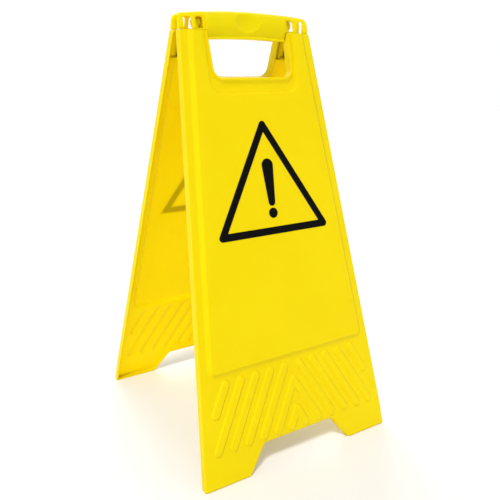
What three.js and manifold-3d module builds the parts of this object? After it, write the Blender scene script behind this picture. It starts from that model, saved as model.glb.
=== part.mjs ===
// A folding wet floor sign: two identical yellow leaves that hang from a grip handle on two short pins.
// Millimetres, +Z up, the floor at Z = 0. X runs across the sign, the front leaf stands on the -Y side.
// The origin is on the floor midway between the four feet, and the sign is built standing open.
import * as THREE from 'three';
import { mergeVertices } from 'three/addons/utils/BufferGeometryUtils.js';
import Module from 'manifold-3d';

const wasm = await Module();
wasm.setup();

// ---- the sign as it stands
const LEAN = THREE.MathUtils.degToRad(15.5);
const HINGE_HEIGHT = 580.5;

// ---- leaf outline, in the plane of the leaf: u across, v up from the sole, w inward from the outer face
const LEAF_LENGTH = 592;
const SOLE_HALF_WIDTH = 155.5;
const ARM_TOP_HALF_WIDTH = 101.5;
const FACE_TO_MIDDLE = 14.8;
const FLANGE_DEPTH = 11;
const WALL = 2.5;
const SOLE_THICKNESS = 5.5;
const EDGE_ROUND = 1.2;
const NOTCH_HALF_WIDTH_SOLE = 85.7;
const NOTCH_HALF_WIDTH_TOP = 58.1;
const NOTCH_HEIGHT = 38;
const HAND_HALF_WIDTH_TOP = 63.4;
const HAND_HALF_WIDTH_BOTTOM = 60.8;
const HAND_BOTTOM = 530.6;
const HAND_CORNER = 13;

// ---- raised panel, its sloping border and the sunk frame round the hand opening
const PANEL_RISE = 4.4;
const PANEL_SLOPE = 7.5;
const PANEL_MARGIN = 10;
const PANEL_BOTTOM = 143.5;
const PANEL_CORNER = 13;
const FRAME_HALF_WIDTH = 70;
const FRAME_BOTTOM = 508.2;
const FRAME_CORNER = 18;
const FRAME_SLOPE = 2.2;
const LIP_RISE = 2.4;
const LIP_SIDE_WIDTH = 3.4;
const LIP_BOTTOM_WIDTH = 8;
const LIP_CREST = 2.6;

// ---- chevron ribs below the panel
const RIB_RISE = 2.4;
const RIB_RADIUS = 6.8;
const RIB_BEVEL = 2.6;
const RIB_SLANT = 0.55;
const RIB_TOP = 133.6;
const RIB_FOOT = 48.5;
const RIB_FIRST = 12.3;
const RIB_PITCH = 23.5;
const RIB_COUNT = 5;
const OUTER_RIB_FOOT = 97;
const CHEVRON_APEXES = [111.7, 70.4];

// ---- stiffening inside the arms
const SHELF_HEIGHT = 557;
const WEB_THICKNESS = 2;
const WEB_DEPTH = 9.5;
const ARM_WEBS = [71, 87];

// ---- hinge
const EYE_RADIUS = 5.8;
const EYE_BORE = 2.6;
const PIN_RADIUS = 2.3;
const PIN_HEAD_RADIUS = 3.9;
const PIN_HEAD = 1.5;
const LUG_WIDTH = 4.5;
const LUG_GAP = 0.4;
const LUG_INNER = 66.4;
const LUG_FRONT = 5.8;
const LUG_FOOT_GAP = 0.3;

// ---- handle
const GRIP_HALF_LENGTH = 61.7;
const GRIP_TOP = 596;
const GRIP_BOTTOM = 561;
const GRIP_HALF_DEPTH = 14.8;
const GRIP_MIDDLE = 577.5;
const GRIP_LOWER_AXIS = 21;
const GRIP_WALL = 3;
const LIP_OUT = 1.2;
const LIP_HEIGHT = 3;
const ARCH = 0.00052;
const END_HALF_LENGTH = 101.5;
const END_BOTTOM = 570.9;
const END_CORNER = 9;
const SKIRT_FOOT = 14.6;
const SKIRT_WALL = 3.2;
const CAP_ROUND = 6.5;
const BULKHEAD = 65.4;
const STRAP_UNDERSIDE = 587;
const INNER_WINDOW = [65.8, 76];
const INNER_WINDOW_SILL = 573;
const OUTER_WINDOW = [82, 93.2];
const END_SLOT_HALF_WIDTH = 8;
const DIMPLE_RADIUS = 4;
const DIMPLE_CENTRE = 96.4;
const DIMPLE_DEPTH = 2.2;
const BOSS_RADIUS = 6;
const BOSS_END = 52;
const SCOOP_HALF_WIDTH = 22;
const SCOOP_HALF_HEIGHT = 27.5;
const SCOOP_REACH = 9;
const SCOOP_HEIGHT = 582.8;
const SCOOP_STANDOFF = 18.4;
const SCOOP_TILT = THREE.MathUtils.degToRad(13.6);

// ---- printed warning mark
const INK = 0.2;
const INK_GAP = 0.1;
const TRIANGLE_APEX = 477.4;
const TRIANGLE_BASE = 318.2;
const TRIANGLE_HALF_WIDTH = 91.6;
const TRIANGLE_BAND = 10;
const TRIANGLE_ROUND = 5;
const BAR_TOP = 412.4;
const BAR_BOTTOM = 362.3;
const BAR_TOP_RADIUS = 9;
const BAR_BOTTOM_RADIUS = 5.3;
const DOT_HEIGHT = 347.3;
const DOT_RADIUS = 7;

const YELLOW = 0xf7d60d;
const INK_BLACK = 0x15150f;

// ---- solids: every shape is made by a three.js geometry class and combined here
function solid(geometry) {
  const bare = new THREE.BufferGeometry();
  const loose = geometry.index ? geometry.toNonIndexed() : geometry;
  bare.setAttribute('position', loose.getAttribute('position'));
  const merged = mergeVertices(bare, 1e-4);
  const mesh = new wasm.Mesh({
    numProp: 3,
    vertProperties: new Float32Array(merged.attributes.position.array),
    triVerts: new Uint32Array(merged.index.array),
  });
  return new wasm.Manifold(mesh);
}

function geometryOf(manifold) {
  const mesh = manifold.getMesh();
  const geometry = new THREE.BufferGeometry();
  geometry.setAttribute('position', new THREE.BufferAttribute(mesh.vertProperties, 3));
  geometry.setIndex(new THREE.BufferAttribute(mesh.triVerts, 1));
  const flat = geometry.toNonIndexed();
  flat.computeVertexNormals();
  return flat;
}

function union(parts) {
  return parts.reduce((whole, part) => whole.add(part));
}

function box(x0, x1, y0, y1, z0, z1) {
  const geometry = new THREE.BoxGeometry(x1 - x0, y1 - y0, z1 - z0);
  geometry.translate((x0 + x1) / 2, (y0 + y1) / 2, (z0 + z1) / 2);
  return solid(geometry);
}

// A cylinder along X.
function rod(radius, x0, x1, y, z, segments = 24) {
  const geometry = new THREE.CylinderGeometry(radius, radius, x1 - x0, segments);
  geometry.rotateZ(Math.PI / 2);
  geometry.translate((x0 + x1) / 2, y, z);
  return solid(geometry);
}

// Extrudes a section drawn across Y and Z (w and v on a leaf) along X.
function extrudedAlongX(shape, x0, x1, steps = 1, segments = 6) {
  const geometry = new THREE.ExtrudeGeometry(shape, {
    depth: x1 - x0,
    steps,
    curveSegments: segments,
    bevelEnabled: false,
  });
  geometry.rotateY(Math.PI / 2);
  geometry.rotateX(Math.PI / 2);
  geometry.translate(x0, 0, 0);
  return geometry;
}

// The same solid at the +X end and, turned half round Z, at the -X end.
function bothEnds(manifold) {
  const twin = geometryOf(manifold);
  twin.rotateZ(Math.PI);
  return manifold.add(solid(twin));
}

// ---- outlines
// Each corner is [u, v, radius]; the outline runs anticlockwise and every corner is rounded by an arc.
function roundedShape(corners) {
  const shape = new THREE.Shape();
  const count = corners.length;
  corners.forEach(([u, v, radius], index) => {
    const here = new THREE.Vector2(u, v);
    const before = new THREE.Vector2(...corners[(index + count - 1) % count].slice(0, 2));
    const after = new THREE.Vector2(...corners[(index + 1) % count].slice(0, 2));
    const arriving = here.clone().sub(before).normalize();
    const leaving = after.clone().sub(here).normalize();
    const turn = Math.atan2(arriving.cross(leaving), arriving.dot(leaving));
    const reach = radius * Math.tan(Math.abs(turn) / 2);
    const start = here.clone().addScaledVector(arriving, -reach);
    const side = Math.sign(turn);
    const inward = new THREE.Vector2(-arriving.y, arriving.x).multiplyScalar(side);
    const centre = start.clone().addScaledVector(inward, radius);
    const from = Math.atan2(start.y - centre.y, start.x - centre.x);
    if (index === 0) shape.moveTo(start.x, start.y);
    shape.absarc(centre.x, centre.y, radius, from, from + turn, turn < 0);
  });
  shape.closePath();
  return shape;
}

// Moves each side of an outline inward by its own distance; side i runs from corner i to corner i + 1.
function inset(corners, distances) {
  const count = corners.length;
  const sides = corners.map(([u, v], index) => {
    const next = corners[(index + 1) % count];
    const along = new THREE.Vector2(next[0] - u, next[1] - v).normalize();
    const inward = new THREE.Vector2(-along.y, along.x);
    const start = new THREE.Vector2(u, v).addScaledVector(inward, distances[index]);
    return { along, start };
  });
  return corners.map(([, , radius], index) => {
    const first = sides[(index + count - 1) % count];
    const second = sides[index];
    const gap = second.start.clone().sub(first.start);
    const reach = gap.cross(second.along) / first.along.cross(second.along);
    const corner = first.start.clone().addScaledVector(first.along, reach);
    const convex = first.along.cross(second.along) > 0;
    const shift = convex ? -distances[index] : distances[index];
    return [corner.x, corner.y, Math.max(radius + shift, 0.6)];
  });
}

// Extrudes an outline drawn in u and v along w, from w0 to w1.
function plate(shape, w0, w1, bevel = {}, segments = 3) {
  const thickness = bevel.thickness ?? 0;
  const geometry = new THREE.ExtrudeGeometry(shape, {
    depth: w1 - w0 - 2 * thickness,
    curveSegments: segments,
    bevelEnabled: thickness > 0,
    bevelThickness: thickness,
    bevelSize: bevel.size ?? thickness,
    bevelOffset: -(bevel.size ?? thickness),
    bevelSegments: bevel.segments ?? 1,
  });
  geometry.rotateX(Math.PI / 2);
  geometry.translate(0, w1 - thickness, 0);
  return solid(geometry);
}

function halfWidthAt(v) {
  return SOLE_HALF_WIDTH + (ARM_TOP_HALF_WIDTH - SOLE_HALF_WIDTH) * (v / LEAF_LENGTH);
}

function leafCorners() {
  return [
    [-SOLE_HALF_WIDTH, 0, 4],
    [-NOTCH_HALF_WIDTH_SOLE, 0, 4],
    [-NOTCH_HALF_WIDTH_TOP, NOTCH_HEIGHT, 6],
    [NOTCH_HALF_WIDTH_TOP, NOTCH_HEIGHT, 6],
    [NOTCH_HALF_WIDTH_SOLE, 0, 4],
    [SOLE_HALF_WIDTH, 0, 4],
    [ARM_TOP_HALF_WIDTH, LEAF_LENGTH, 3],
    [HAND_HALF_WIDTH_TOP, LEAF_LENGTH, 2],
    [HAND_HALF_WIDTH_BOTTOM, HAND_BOTTOM, HAND_CORNER],
    [-HAND_HALF_WIDTH_BOTTOM, HAND_BOTTOM, HAND_CORNER],
    [-HAND_HALF_WIDTH_TOP, LEAF_LENGTH, 2],
    [-ARM_TOP_HALF_WIDTH, LEAF_LENGTH, 3],
  ];
}

// The raised middle of the leaf before the frame round the hand opening is cut out of it.
function panelBlock(w0, w1) {
  const over = LEAF_LENGTH + 30;
  const corners = [
    [-(halfWidthAt(PANEL_BOTTOM) - PANEL_MARGIN), PANEL_BOTTOM, PANEL_CORNER],
    [halfWidthAt(PANEL_BOTTOM) - PANEL_MARGIN, PANEL_BOTTOM, PANEL_CORNER],
    [halfWidthAt(over) - PANEL_MARGIN, over, PANEL_CORNER],
    [-(halfWidthAt(over) - PANEL_MARGIN), over, PANEL_CORNER],
  ];
  const bevel = { thickness: PANEL_RISE, size: PANEL_SLOPE };
  return plate(roundedShape(corners), w0, w1, bevel);
}

// The sunk frame that surrounds the hand opening, wider at the face of the panel than at its floor.
function frameCutter(w0, w1, clearance) {
  const half = FRAME_HALF_WIDTH + clearance;
  const bottom = FRAME_BOTTOM - clearance;
  const over = LEAF_LENGTH + 40;
  const corners = [
    [-half, bottom, FRAME_CORNER],
    [half, bottom, FRAME_CORNER],
    [half, over, 2.5],
    [-half, over, 2.5],
  ];
  const bevel = { thickness: PANEL_RISE, size: FRAME_SLOPE };
  return plate(roundedShape(corners), w0, w1, bevel, 4);
}

// The rounded lip that stands round the hand opening; its lower side slopes gently down to the frame.
function handLip() {
  const outerHalf = HAND_HALF_WIDTH_TOP + LIP_SIDE_WIDTH;
  const outerBottomHalf = HAND_HALF_WIDTH_BOTTOM + LIP_SIDE_WIDTH;
  const bottom = HAND_BOTTOM - LIP_BOTTOM_WIDTH;
  const corners = [
    [-outerHalf, LEAF_LENGTH, 0.9],
    [-outerBottomHalf, bottom, FRAME_CORNER - 3],
    [outerBottomHalf, bottom, FRAME_CORNER - 3],
    [outerHalf, LEAF_LENGTH, 0.9],
    [HAND_HALF_WIDTH_TOP, LEAF_LENGTH, 0.9],
    [HAND_HALF_WIDTH_BOTTOM, HAND_BOTTOM, HAND_CORNER],
    [-HAND_HALF_WIDTH_BOTTOM, HAND_BOTTOM, HAND_CORNER],
    [-HAND_HALF_WIDTH_TOP, LEAF_LENGTH, 0.9],
  ];
  const slope = new THREE.Shape();
  slope.moveTo(0, bottom);
  slope.lineTo(-LIP_RISE - 1, bottom);
  slope.lineTo(-LIP_RISE - 1, HAND_BOTTOM - LIP_CREST);
  slope.lineTo(-LIP_RISE, HAND_BOTTOM - LIP_CREST);
  slope.closePath();
  const ring = plate(roundedShape(corners), -LIP_RISE, WALL, { thickness: 0.8, size: 0.8 });
  return ring.subtract(solid(extrudedAlongX(slope, -outerHalf - 1, outerHalf + 1)));
}

// One rib: a round-ended bead between two points of the leaf's face.
function rib(u0, v0, u1, v1) {
  const angle = Math.atan2(v1 - v0, u1 - u0);
  const shape = new THREE.Shape();
  shape.absarc(u1, v1, RIB_RADIUS, angle - Math.PI / 2, angle + Math.PI / 2, false);
  shape.absarc(u0, v0, RIB_RADIUS, angle + Math.PI / 2, angle + Math.PI * 1.5, false);
  shape.closePath();
  const bevel = { thickness: RIB_RISE - 0.4, size: RIB_BEVEL };
  return plate(shape, -RIB_RISE, RIB_RISE, bevel, 2);
}

function ribs() {
  const beads = [];
  for (const side of [-1, 1]) {
    for (let index = 0; index < RIB_COUNT; index += 1) {
      const topU = RIB_FIRST + RIB_PITCH * index;
      const foot = index === RIB_COUNT - 1 ? OUTER_RIB_FOOT : RIB_FOOT;
      const footU = topU + RIB_SLANT * (RIB_TOP - foot);
      beads.push(rib(side * topU, RIB_TOP, side * footU, foot));
    }
    for (const apex of CHEVRON_APEXES) {
      beads.push(rib(0, apex, side * RIB_SLANT * (apex - RIB_FOOT), RIB_FOOT));
    }
  }
  return union(beads);
}

// The hinge axis in the leaf's own u, v, w.
function hingeInLeaf() {
  const back = FACE_TO_MIDDLE + LEAF_LENGTH * Math.sin(LEAN);
  return {
    v: back * Math.sin(LEAN) + HINGE_HEIGHT * Math.cos(LEAN),
    w: back * Math.cos(LEAN) - HINGE_HEIGHT * Math.sin(LEAN),
  };
}

// One hinge lug: a web that rises from the top of the arm and ends in an eye round the pin.
function lugGeometry(u0) {
  const u1 = u0 + LUG_WIDTH;
  const { v, w } = hingeInLeaf();
  const footW = FLANGE_DEPTH;
  const footV = LEAF_LENGTH + LUG_FOOT_GAP;
  const distance = Math.hypot(w - footW, v - footV);
  const bearing = Math.atan2(footV - v, footW - w);
  const tangent = bearing + Math.acos(EYE_RADIUS / distance);
  const shape = new THREE.Shape();
  shape.moveTo(LUG_FRONT, footV);
  shape.lineTo(footW, footV);
  shape.absarc(w, v, EYE_RADIUS, tangent, Math.PI, false);
  shape.lineTo(LUG_FRONT, footV);
  const web = solid(extrudedAlongX(shape, u0, u1, 1, 8));
  return geometryOf(web.subtract(rod(EYE_BORE, u0 - 1, u1 + 1, w, v)));
}

// What is left standing inside the hollow arms: a shelf across each arm and two webs above it.
function armStiffeners() {
  const blocks = [];
  for (const side of [-1, 1]) {
    const outer = halfWidthAt(SHELF_HEIGHT) + 1;
    const ends = [side * (HAND_HALF_WIDTH_TOP - 1), side * outer].sort((a, b) => a - b);
    blocks.push(box(...ends, -PANEL_RISE, WEB_DEPTH, SHELF_HEIGHT, SHELF_HEIGHT + WEB_THICKNESS));
    for (const position of ARM_WEBS) {
      const near = side * position - WEB_THICKNESS / 2;
      const far = near + WEB_THICKNESS;
      blocks.push(box(near, far, -PANEL_RISE, WEB_DEPTH, SHELF_HEIGHT + 1, LEAF_LENGTH));
    }
  }
  return union(blocks);
}

// Everything below the floor when the leaf stands at its lean, which leaves the soles flat on the floor.
function belowFloor() {
  const geometry = new THREE.BoxGeometry(2 * SOLE_HALF_WIDTH + 60, 200, 60);
  geometry.translate(0, 0, -30);
  geometry.rotateX(LEAN);
  return solid(geometry);
}

function leafGeometry() {
  const corners = leafCorners();
  const soles = new Set([0, 4]);
  const distances = corners.map((_, index) => (soles.has(index) ? SOLE_THICKNESS : WALL));
  const shell = { thickness: EDGE_ROUND, segments: 2 };
  const tray = plate(roundedShape(corners), 0, FLANGE_DEPTH, shell, 4);
  const pocket = plate(roundedShape(inset(corners, distances)), WALL, FLANGE_DEPTH + 9);

  const outline = plate(roundedShape(corners), -PANEL_RISE - 1, FLANGE_DEPTH + 1, {}, 4);
  const raised = panelBlock(-PANEL_RISE, PANEL_RISE + 12)
    .subtract(frameCutter(-30, 0, 0))
    .subtract(box(-200, 200, 1, 40, 0, 700))
    .intersect(outline);
  const hollow = panelBlock(WALL - PANEL_RISE, PANEL_RISE + 12)
    .subtract(frameCutter(-30, WALL + 0.1, 2.2))
    .subtract(box(-200, 200, WALL + 0.5, 40, 0, 700))
    .intersect(plate(roundedShape(inset(corners, distances)), -PANEL_RISE, FLANGE_DEPTH));

  const leaf = tray
    .add(raised)
    .add(handLip())
    .add(ribs())
    .subtract(pocket.add(hollow).subtract(armStiffeners()))
    .subtract(belowFloor());
  return geometryOf(leaf);
}

// ---- handle
// The grip's section across Y and Z: an oval that is open below, with a small lip along each lower edge.
function gripSection(grow, lip) {
  const shape = new THREE.Shape();
  const half = GRIP_HALF_DEPTH + grow;
  const upper = GRIP_TOP - GRIP_MIDDLE + grow;
  const lower = GRIP_LOWER_AXIS;
  const turnIn = Math.asin((GRIP_MIDDLE - GRIP_BOTTOM - (lip ? LIP_HEIGHT : -1)) / lower);
  const edge = half * Math.cos(turnIn);
  const foot = lip ? GRIP_BOTTOM : GRIP_BOTTOM - 1;
  const out = lip ? LIP_OUT : 0;
  shape.moveTo(-edge - out + 0.5, foot);
  shape.lineTo(edge + out - 0.5, foot);
  if (lip) {
    shape.lineTo(edge + out, foot + 0.8);
    shape.lineTo(edge + out, foot + LIP_HEIGHT - 0.8);
  }
  shape.absellipse(0, GRIP_MIDDLE, half, lower, -turnIn, 0, false);
  shape.absellipse(0, GRIP_MIDDLE, half, upper, 0, Math.PI, false);
  shape.absellipse(0, GRIP_MIDDLE, half, lower, Math.PI, Math.PI + turnIn, false);
  if (lip) {
    shape.lineTo(-edge - out, foot + LIP_HEIGHT - 0.8);
    shape.lineTo(-edge - out, foot + 0.8);
  }
  shape.closePath();
  return shape;
}

// The section of the two ends: skirts that lie in line with the leaves, under a rounded top.
function endSection(foot, rise, wall, round) {
  const slope = Math.tan(LEAN);
  const footHalf = SKIRT_FOOT - wall + slope * (END_BOTTOM - foot);
  const riseHalf = SKIRT_FOOT - wall + slope * (END_BOTTOM - rise);
  return roundedShape([
    [-footHalf, foot, 0.6],
    [footHalf, foot, 0.6],
    [riseHalf, rise, round],
    [-riseHalf, rise, round],
  ]);
}

// Extrudes a section along X and lets it droop with the handle's gentle arch.
function beam(shape, x0, x1, steps, { arch = 0, segments = 3 }) {
  const geometry = extrudedAlongX(shape, x0, x1, steps, segments);
  const position = geometry.getAttribute('position');
  for (let index = 0; index < position.count; index += 1) {
    const x = position.getX(index);
    position.setZ(index, position.getZ(index) - arch * x * x);
  }
  return solid(geometry);
}

// An opening through both skirts of one handle end, with rounded upper corners.
function windowCutter(x0, x1, z0, z1) {
  const corners = [
    [x0, z0, 0.6],
    [x1, z0, 0.6],
    [x1, z1, 3],
    [x0, z1, 3],
  ];
  return plate(roundedShape(corners), -40, 40);
}

// What is taken off the upper corner of the handle's end to round it.
function cornerCutter() {
  const centreX = END_HALF_LENGTH - END_CORNER;
  const centreZ = GRIP_TOP - ARCH * centreX * centreX - END_CORNER;
  const shape = new THREE.Shape();
  shape.moveTo(END_HALF_LENGTH + 3, centreZ);
  shape.lineTo(END_HALF_LENGTH + 3, GRIP_TOP + 5);
  shape.lineTo(centreX, GRIP_TOP + 5);
  shape.absarc(centreX, centreZ, END_CORNER, Math.PI / 2, 0, true);
  shape.closePath();
  return plate(shape, -40, 40, {}, 5);
}

// The small dimple in the foot of one outer post.
function dimple(face) {
  const geometry = new THREE.CylinderGeometry(DIMPLE_RADIUS, DIMPLE_RADIUS, 20, 20);
  geometry.translate(DIMPLE_CENTRE, face * (SKIRT_FOOT - DIMPLE_DEPTH + 10), END_BOTTOM);
  return solid(geometry);
}

// An ellipsoid that presses the thumb scoop into one face of the grip.
function scoopBall(face, grow) {
  const geometry = new THREE.SphereGeometry(1, 28, 16);
  geometry.scale(SCOOP_HALF_WIDTH + grow, SCOOP_REACH + grow, SCOOP_HALF_HEIGHT + grow);
  geometry.rotateX(face * SCOOP_TILT);
  geometry.translate(0, face * SCOOP_STANDOFF, SCOOP_HEIGHT);
  return solid(geometry);
}

function handleEnd() {
  const start = GRIP_HALF_LENGTH - 2;
  const outside = endSection(GRIP_BOTTOM, GRIP_TOP - 0.2, 0, CAP_ROUND);
  const inside = endSection(END_BOTTOM - 2, STRAP_UNDERSIDE, SKIRT_WALL, 3);
  const slot = END_SLOT_HALF_WIDTH;
  return beam(outside, start, END_HALF_LENGTH, 4, { arch: ARCH, segments: 4 })
    .subtract(box(0, 200, -40, 40, 500, END_BOTTOM))
    .subtract(beam(inside, BULKHEAD, OUTER_WINDOW[1], 1, {}))
    .subtract(box(OUTER_WINDOW[1] - 1, 200, -slot, slot, 500, STRAP_UNDERSIDE))
    .subtract(windowCutter(...OUTER_WINDOW, END_BOTTOM - 5, STRAP_UNDERSIDE - 0.5))
    .subtract(windowCutter(...INNER_WINDOW, INNER_WINDOW_SILL, STRAP_UNDERSIDE))
    .subtract(dimple(1).add(dimple(-1)))
    .subtract(cornerCutter());
}

function handleGeometry() {
  const grip = GRIP_HALF_LENGTH;
  const inside = grip - GRIP_WALL;
  const bend = { arch: ARCH, segments: 6 };
  const scoops = scoopBall(-1, 0).add(scoopBall(1, 0));
  const backing = scoopBall(-1, GRIP_WALL).add(scoopBall(1, GRIP_WALL));
  const hollow = beam(gripSection(-GRIP_WALL, false), -inside, inside, 10, bend).subtract(backing);
  const boss = rod(BOSS_RADIUS, BOSS_END, inside + 1, 0, HINGE_HEIGHT);
  const bore = rod(EYE_BORE, BOSS_END - 1, BULKHEAD + 1, 0, HINGE_HEIGHT);
  const handle = beam(gripSection(0, true), -grip, grip, 10, bend)
    .subtract(hollow)
    .subtract(scoops)
    .add(bothEnds(handleEnd().add(boss)))
    .subtract(bothEnds(bore));
  return geometryOf(handle);
}

// ---- hinge pin: a plain shank with a domed head outside the lugs
function pinGeometry() {
  const headFoot = LUG_INNER + 2 * LUG_WIDTH + LUG_GAP + 0.3;
  const tip = BOSS_END + 1;
  const profile = [
    new THREE.Vector2(0, tip),
    new THREE.Vector2(PIN_RADIUS - 0.6, tip),
    new THREE.Vector2(PIN_RADIUS, tip + 0.8),
    new THREE.Vector2(PIN_RADIUS, headFoot),
    new THREE.Vector2(PIN_HEAD_RADIUS, headFoot),
    new THREE.Vector2(PIN_HEAD_RADIUS, headFoot + PIN_HEAD * 0.4),
    new THREE.Vector2(PIN_HEAD_RADIUS * 0.75, headFoot + PIN_HEAD * 0.85),
    new THREE.Vector2(0, headFoot + PIN_HEAD),
  ];
  return new THREE.LatheGeometry(profile, 24);
}

// ---- print: thin layers that lie just off the face of the raised panel
function inkPlate(shape, segments) {
  const near = -PANEL_RISE - INK_GAP;
  return geometryOf(plate(shape, near - INK, near, {}, segments));
}

function triangleShape() {
  const corners = [
    [-TRIANGLE_HALF_WIDTH, TRIANGLE_BASE, TRIANGLE_ROUND],
    [TRIANGLE_HALF_WIDTH, TRIANGLE_BASE, TRIANGLE_ROUND],
    [0, TRIANGLE_APEX, TRIANGLE_ROUND],
  ];
  const shape = roundedShape(corners);
  const band = corners.map(() => TRIANGLE_BAND);
  shape.holes.push(roundedShape(inset(corners, band)));
  return shape;
}

function barShape() {
  const shape = new THREE.Shape();
  const lift = Math.asin((BAR_TOP_RADIUS - BAR_BOTTOM_RADIUS) / (BAR_TOP - BAR_BOTTOM));
  shape.absarc(0, BAR_TOP, BAR_TOP_RADIUS, -lift, Math.PI + lift, false);
  shape.absarc(0, BAR_BOTTOM, BAR_BOTTOM_RADIUS, Math.PI + lift, 2 * Math.PI - lift, false);
  shape.closePath();
  return shape;
}

function dotShape() {
  const shape = new THREE.Shape();
  shape.absarc(0, DOT_HEIGHT, DOT_RADIUS, 0, Math.PI * 2, false);
  return shape;
}

// ---- the assembly
function plastic(name, color, roughness) {
  return new THREE.MeshStandardMaterial({ name, color, roughness, metalness: 0 });
}

function piece(name, geometry, material) {
  const mesh = new THREE.Mesh(geometry, material);
  mesh.name = name;
  return mesh;
}

function leafAssembly(side) {
  const group = new THREE.Group();
  group.name = `${side}_leaf_assembly`;
  const ink = (part) => plastic(`${side} ${part} ink`, INK_BLACK, 0.5);
  const lugYellow = plastic(`${side} hinge lug yellow`, YELLOW, 0.38);
  const outerLug = -LUG_INNER - 2 * LUG_WIDTH - LUG_GAP;
  group.add(piece(`${side}_leaf`, leafGeometry(), plastic(`${side} leaf yellow`, YELLOW, 0.38)));
  group.add(piece(`${side}_hinge_lug_right`, lugGeometry(LUG_INNER), lugYellow));
  group.add(piece(`${side}_hinge_lug_left`, lugGeometry(outerLug), lugYellow.clone()));
  group.add(piece(`${side}_warning_triangle`, inkPlate(triangleShape(), 5), ink('triangle')));
  group.add(piece(`${side}_exclamation_bar`, inkPlate(barShape(), 10), ink('bar')));
  group.add(piece(`${side}_exclamation_dot`, inkPlate(dotShape(), 14), ink('dot')));
  group.rotation.x = -LEAN;
  group.position.y = -(FACE_TO_MIDDLE + LEAF_LENGTH * Math.sin(LEAN));
  return group;
}

const sign = new THREE.Group();
sign.name = 'wet_floor_sign';

const frontHalf = new THREE.Group();
frontHalf.name = 'front_half';
frontHalf.add(leafAssembly('front'));

const backHalf = new THREE.Group();
backHalf.name = 'back_half';
backHalf.add(leafAssembly('back'));
backHalf.rotation.z = Math.PI;

const grip = piece('handle', handleGeometry(), plastic('handle yellow', YELLOW, 0.36));
const pins = [1, -1].map((side) => {
  const name = side > 0 ? 'hinge_pin_right' : 'hinge_pin_left';
  const pin = piece(name, pinGeometry(), plastic(`${name} nylon`, YELLOW, 0.45));
  pin.rotation.z = (-side * Math.PI) / 2;
  pin.position.z = HINGE_HEIGHT;
  return pin;
});

sign.add(frontHalf, backHalf, grip, ...pins);

export default sign;
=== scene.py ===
"""A folding wet floor sign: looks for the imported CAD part, in metres, in the CAD part's own frame."""

import math

import bmesh
import bpy
import numpy as np
from mathutils import Matrix, Vector
from mathutils.geometry import delaunay_2d_cdt


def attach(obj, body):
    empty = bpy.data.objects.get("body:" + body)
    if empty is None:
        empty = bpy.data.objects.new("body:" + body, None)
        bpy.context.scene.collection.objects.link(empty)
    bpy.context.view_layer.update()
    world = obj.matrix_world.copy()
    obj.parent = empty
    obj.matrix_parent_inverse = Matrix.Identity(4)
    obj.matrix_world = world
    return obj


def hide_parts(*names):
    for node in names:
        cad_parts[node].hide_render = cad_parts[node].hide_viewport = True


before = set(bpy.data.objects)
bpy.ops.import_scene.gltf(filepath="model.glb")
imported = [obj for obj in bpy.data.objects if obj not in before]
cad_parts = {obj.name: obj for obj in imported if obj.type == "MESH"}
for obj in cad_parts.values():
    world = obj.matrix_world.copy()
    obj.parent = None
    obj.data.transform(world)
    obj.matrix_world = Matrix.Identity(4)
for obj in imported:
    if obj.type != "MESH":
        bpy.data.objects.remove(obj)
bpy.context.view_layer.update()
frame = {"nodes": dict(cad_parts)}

# ---------------------------------------------------------------- leaf dimensions, millimetres
# u runs across the leaf, v up from the sole, w inward from the outer face.
LEAN = math.radians(15.5)
LEAF_LENGTH = 592.0
FACE_TO_MIDDLE = 14.8
SOLE_HALF_WIDTH = 155.5
ARM_TOP_HALF_WIDTH = 101.5
FLANGE_DEPTH = 11.0
WALL = 2.5
SOLE_THICKNESS = 5.5
NOTCH_HALF_WIDTH_SOLE = 85.7
NOTCH_HALF_WIDTH_TOP = 58.1
NOTCH_HEIGHT = 38.0
HAND_HALF_WIDTH_TOP = 63.4
HAND_HALF_WIDTH_BOTTOM = 60.8
HAND_BOTTOM = 530.6
HAND_CORNER = 13.0
PANEL_RISE = 4.4
PANEL_SLOPE = 7.5
PANEL_MARGIN = 10.0
PANEL_BOTTOM = 143.5
PANEL_CORNER = 13.0
FRAME_HALF_WIDTH = 70.0
FRAME_BOTTOM = 508.2
FRAME_CORNER = 18.0
FRAME_SLOPE = 2.8
FRAME_LOWER_SLOPE = 3.8
LIP_RISE = 3.2
LIP_SIDE_WIDTH = 3.9
LIP_BOTTOM_WIDTH = 7.2
LIP_SIDE_SLOPE = 2.0
LIP_BOTTOM_SLOPE = 4.6
LIP_LINES = ((1.9, 2.6), (2.9, 4.9), (LIP_SIDE_WIDTH, LIP_BOTTOM_WIDTH))
# how much of each slope is rounded at either end, as a share of its width
FRAME_FILLET = 0.15
LIP_FILLET = 0.35
RIB_FILLET = 0.4
# share of the panel's lower slope that follows a parabola, steepest at its upper edge
LOWER_PANEL_BEND = 0.8
RIB_RISE = 2.4
RIB_RADIUS = 6.8
RIB_SLOPE = 2.8
RIB_SLANT = 0.55
RIB_TOP = 133.6
RIB_FOOT = 48.5
RIB_FIRST = 12.3
RIB_PITCH = 23.5
RIB_COUNT = 5
OUTER_RIB_FOOT = 97.0
CHEVRON_APEXES = (111.7, 70.4)
INNER_PANEL_SHIFT = 0.7
INNER_FRAME_SHIFT = -1.9
INNER_RIB_SHIFT = 0.6
INNER_RIB_RISE = 2.2
INNER_RIB_SLOPE = 4.6
SHELF_HEIGHT = 557.0
WEB_THICKNESS = 2.0
WEB_DEPTH = 9.5
ARM_WEBS = (71.0, 87.0)
HINGE_V = 605.6
HINGE_W = 11.58
EYE_RADIUS = 5.8
EYE_BORE = 2.6
LUG_WIDTH = 4.5
LUG_GAP = 0.4
LUG_INNER = 66.4
LUG_FRONT = 5.8
LUG_FOOT_GAP = 0.3
EDGE_ROUND = 1.2
ARM_TOP_ROUND = 0.4
LOWER_EDGE_ROUND = 3.5
BED_FILLET = 1.7
LUG_EDGE_ROUND = 0.4
BORE_STEPS = 20

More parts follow.
